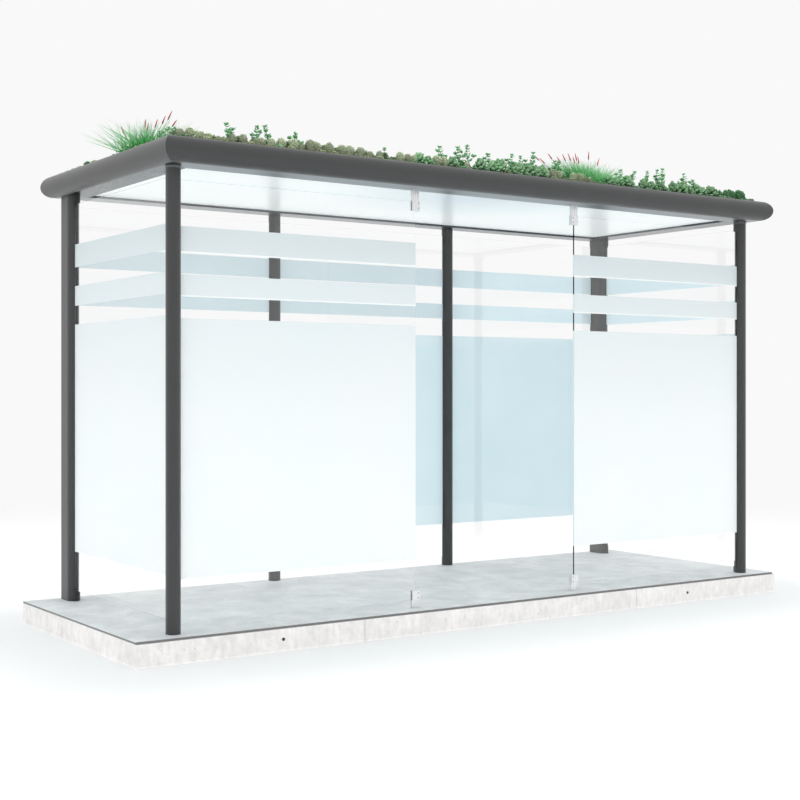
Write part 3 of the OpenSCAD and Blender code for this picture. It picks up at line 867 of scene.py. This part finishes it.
def grass_blade(blades, rng, place, longest, spread, front_cut):
    """Straight blade that leans out any way and droops a little; one that leans far out is longer."""
    steps = np.linspace(0, 1, BLADE_STEPS)
    turn = rng.uniform(0, 2 * math.pi)
    lean = WIDEST_LEAN * rng.uniform(0.02, 1.0) ** 0.7
    ahead = max(0.0, -math.sin(turn))
    length = longest * (0.48 + 0.52 * (lean / WIDEST_LEAN) ** 1.7)
    length *= rng.uniform(0.65, 1.0) * (1 - front_cut * ahead)
    bend = lean + rng.uniform(0.0, 0.16) * steps
    step = length / (BLADE_STEPS - 1)
    out = np.concatenate(([0], np.cumsum(np.sin(bend[:-1]) * step)))
    rise = np.concatenate(([0], np.cumsum(np.cos(bend[:-1]) * step)))
    root = place + np.append(rng.normal(0, 1, 2) * spread, 0) * MM
    path = root + np.stack((out * math.cos(turn), out * math.sin(turn), rise), axis=1)
    low = varied(rng, BLADE_FOOT, 1, 0.25)[0]
    high = varied(rng, BLADE_TIP, 1, 0.15)[0]
    stem(blades, path, BLADE_RADIUS * (1 - 0.88 * steps), low, high)


def flower_spike(spikes, rng, place, tip_mm):
    """Thin stalk from beside the tuft's root to its tip, with a red ear."""
    steps = np.linspace(0, 1, BLADE_STEPS)
    aside = np.array((tip_mm[0], tip_mm[1], 0)) * MM
    rise = np.array((0, 0, tip_mm[2] * MM))
    path = place + 0.45 * aside + 0.55 * aside * steps[:, None] ** 1.2 + rise * steps[:, None]
    stem(spikes, path, STALK_RADIUS * (1 - 0.3 * steps), *varied(rng, SHOOT, 2, 0.1))
    size = EAR_LENGTH * rng.uniform(0.85, 1.1)
    axis = path[-1] - path[-2]
    root = (path[-1] - axis / np.linalg.norm(axis) * size * 0.95)[None]
    low = varied(rng, SPIKE_FOOT, 1, 0.15)
    high = varied(rng, SPIKE_TIP, 1, 0.15)
    spikes.copies(EAR, axis[None], np.zeros(1), np.array([[EAR_RADIUS, EAR_RADIUS, size]]), root, low, high)


def roof_grass():
    """One tuft of blades and flower spikes in each place where the frame has a cone for it."""
    rng = np.random.default_rng(23)
    blades, spikes = Heap(), Heap()
    for index, (along, deep) in enumerate(TUFT_PLACES):
        x = mat_low.x + along * (mat_high.x - mat_low.x)
        y = mat_low.y + deep * (mat_high.y - mat_low.y)
        place = np.array((x, y, bed_height(x, y) - SUNK))
        longest, spread, front_cut, count = TUFT_KINDS[min(index, 2)]
        for _ in range(count):
            grass_blade(blades, rng, place, longest, spread, front_cut)
        stalks = (LEFT_STALKS, FRONT_STALKS)[index % 2]
        # Young tufts have shorter stalks that stand closer
        if index > 1:
            stalks = [(0.7 * a, 0.7 * b, 0.8 * c) for a, b, c in stalks]
        for tip_mm in stalks:
            flower_spike(spikes, rng, place, tip_mm)
    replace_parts(blades.piece("grass_blades", "grass", BLADE), "grass_tufts")
    spikes.piece("grass_spikes", "grass", BLADE)


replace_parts(mossy_bed(), "sedum_mat")
roof_planting()
roof_grass()

# Tie holes on the slab's front: place along X and height, in mm, and the radius of the dark discs painted in
# them as their shade
TIE_HOLES = ((-1443, 63), (1378, 60))
HOLE_DISC_RADIUS = 8.5
# Screws beside the glass edge, their radius, and their heights in the lower and upper jaws, in mm
SCREW_ASIDE, SCREW_RADIUS = 14, 3.4
JAW_SCREWS_FOOT = (178, 205)
JAW_SCREWS_TOP = (2268, 2295)
# Section of a collar: out from the post's face and down from the roof, in mm
COLLAR_PROFILE = ((0.3, 14), (1.8, 14), (2.6, 13), (2.6, 1.6), (1.8, 0.6), (0.3, 0.6))
COLLAR_SIDES = 48


def heads(name, slot, material, rows):
    """Round heads on upright faces: each row has a place in mm, the way inward along Y and a radius."""
    heap = Heap()
    for x, y, z, inward, radius in rows:
        size = np.array([[radius, radius, 0.5]]) * MM
        root = np.array([[x, y - 0.5 * inward, z]]) * MM
        grey = np.full((1, 3), 0.5)
        heap.copies(HEAD, np.array([[0.0, inward, 0.0]]), np.zeros(1), size, root, grey, grey)
    return heap.piece(name, slot, material)


def clip_screws():
    """Screws in the jaws of each clip, on its front and back."""
    screws = []
    for side in ("left", "right"):
        for end, levels in (("foot", JAW_SCREWS_FOOT), ("top", JAW_SCREWS_TOP)):
            low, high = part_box(f"front_{side}_{end}_clip")
            middle = (low.x + high.x) / 2 / MM
            bare = middle + math.copysign(SCREW_ASIDE, -middle)
            for z in levels:
                screws.append((bare, low.y / MM, z, 1, SCREW_RADIUS))
                screws.append((bare, high.y / MM, z, -1, SCREW_RADIUS))
    heads("clip_screws", "clip_steel", SCREW, screws)


def post_collars():
    """Thin collar round the top of each front post."""
    loops = len(COLLAR_PROFILE)
    points, triangles = [], []
    for node in ("front_left_post", "front_right_post"):
        low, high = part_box(node)
        x, y, radius = (low.x + high.x) / 2, (low.y + high.y) / 2, (high.x - low.x) / 2
        start = len(points)
        for out, down in COLLAR_PROFILE:
            ring = radius + out * MM
            z = high.z - down * MM
            points += [(x + ring * math.cos(t), y + ring * math.sin(t), z) for t in turns_of(COLLAR_SIDES)]
        for k in range(loops):
            lower = start + k * COLLAR_SIDES
            upper = start + (k + 1) % loops * COLLAR_SIDES
            for i in range(COLLAR_SIDES):
                j = (i + 1) % COLLAR_SIDES
                triangles += [(lower + i, lower + j, upper + j), (lower + i, upper + j, upper + i)]
    add_piece("post_collars", COLLAR, points, triangles)


slab_face = slab_left_low.y / MM
heads("tie_hole_shade_discs", "dark_clamp", HOLE_SHADE, [(x, slab_face, z, 1, HOLE_DISC_RADIUS) for x, z in TIE_HOLES])
clip_screws()
post_collars()

# Plan of the slab, in metres
SLAB_MIDDLE = ((slab_left_low.x + slab_right_high.x) / 2, (slab_left_low.y + slab_left_high.y) / 2, 0.0)
SLAB_HALF = ((slab_right_high.x - slab_left_low.x) / 2, (slab_left_high.y - slab_left_low.y) / 2, 1.0)
# The floor fades into the backdrop between these distances from this place
FADE_FROM, FADE_TO = 5.0, 11.5
FADE_PLACE = (-2.0, -3.0, 0.0)
# Painted shadow lies round the slab and ends between these distances from it
SHADOW_FROM, SHADOW_TO = 0.2, 0.85
FLOOR_HALF = 60.0
FLOOR_LEVEL = -0.1 * MM


def pale_studio():
    """Even white light from all round; what looks at the room itself sees the pale backdrop."""
    world = bpy.data.worlds.new("pale_studio")
    world.use_nodes = True
    tree = world.node_tree
    tree.nodes.clear()
    light = add(tree, "Background", {"Color": WHITE, "Strength": ROOM_LIGHT}).outputs[0]
    backdrop = add(tree, "Background", {"Color": linear(BACKDROP), "Strength": 1.0}).outputs[0]
    add(tree, "OutputWorld", {"Surface": blend(tree, seen_share(tree), light, backdrop)})
    bpy.context.scene.world = world


def studio_floor():
    """White matt floor that keeps a soft cool shadow, with a painted shadow round the slab, and fades into
    the backdrop far off.
    """
    material, tree, place = new_material("white_floor")
    offset = vector_calc(tree, "DISTANCE", place, FADE_PLACE)
    far = ramp(tree, offset, FADE_FROM, FADE_TO, interpolation_type="SMOOTHSTEP")
    # Painted shadow round the slab: distance from its outline in plan
    reach = vector_calc(tree, "ABSOLUTE", vector_calc(tree, "SUBTRACT", place, SLAB_MIDDLE))
    reach = vector_calc(tree, "SUBTRACT", reach, SLAB_HALF)
    reach = vector_calc(tree, "LENGTH", vector_calc(tree, "MAXIMUM", reach, (0.0, 0.0, 0.0)))
    clean = ramp(tree, reach, SHADOW_FROM, SHADOW_TO, interpolation_type="SMOOTHSTEP")
    matt = skin(tree, mix(tree, clean, linear("#e8ebec"), linear("#f6f7f7")), 0.9)
    backdrop = add(tree, "Emission", {"Color": linear(BACKDROP), "Strength": 1.0}).outputs[0]
    bounce = add(tree, "BsdfDiffuse", {"Color": WHITE}).outputs[0]
    wear(tree, blend(tree, seen_share(tree), bounce, blend(tree, far, matt, backdrop)))
    mesh = bpy.data.meshes.new("floor")
    half = FLOOR_HALF
    corners = [(-half, -half, 0), (half, -half, 0), (half, half, 0), (-half, half, 0)]
    mesh.from_pydata(corners, [], [(0, 1, 2, 3)])
    mesh.materials.append(material)
    floor = bpy.data.objects.new("floor", mesh)
    floor.location.z = FLOOR_LEVEL
    bpy.context.scene.collection.objects.link(floor)


def photo_camera():
    """Level camera at the place of the photograph."""
    data = bpy.data.cameras.new("camera")
    data.sensor_width = SENSOR_WIDTH
    data.lens = CAMERA_LENS
    data.shift_y = CAMERA_SHIFT
    data.clip_end = 500.0
    camera = bpy.data.objects.new("camera", data)
    camera.location = CAMERA_PLACE
    camera.rotation_euler = (math.radians(90), 0, math.radians(-CAMERA_YAW))
    bpy.context.scene.collection.objects.link(camera)
    bpy.context.scene.camera = camera


pale_studio()
studio_floor()
photo_camera()
bpy.context.scene.view_settings.view_transform = "Standard"
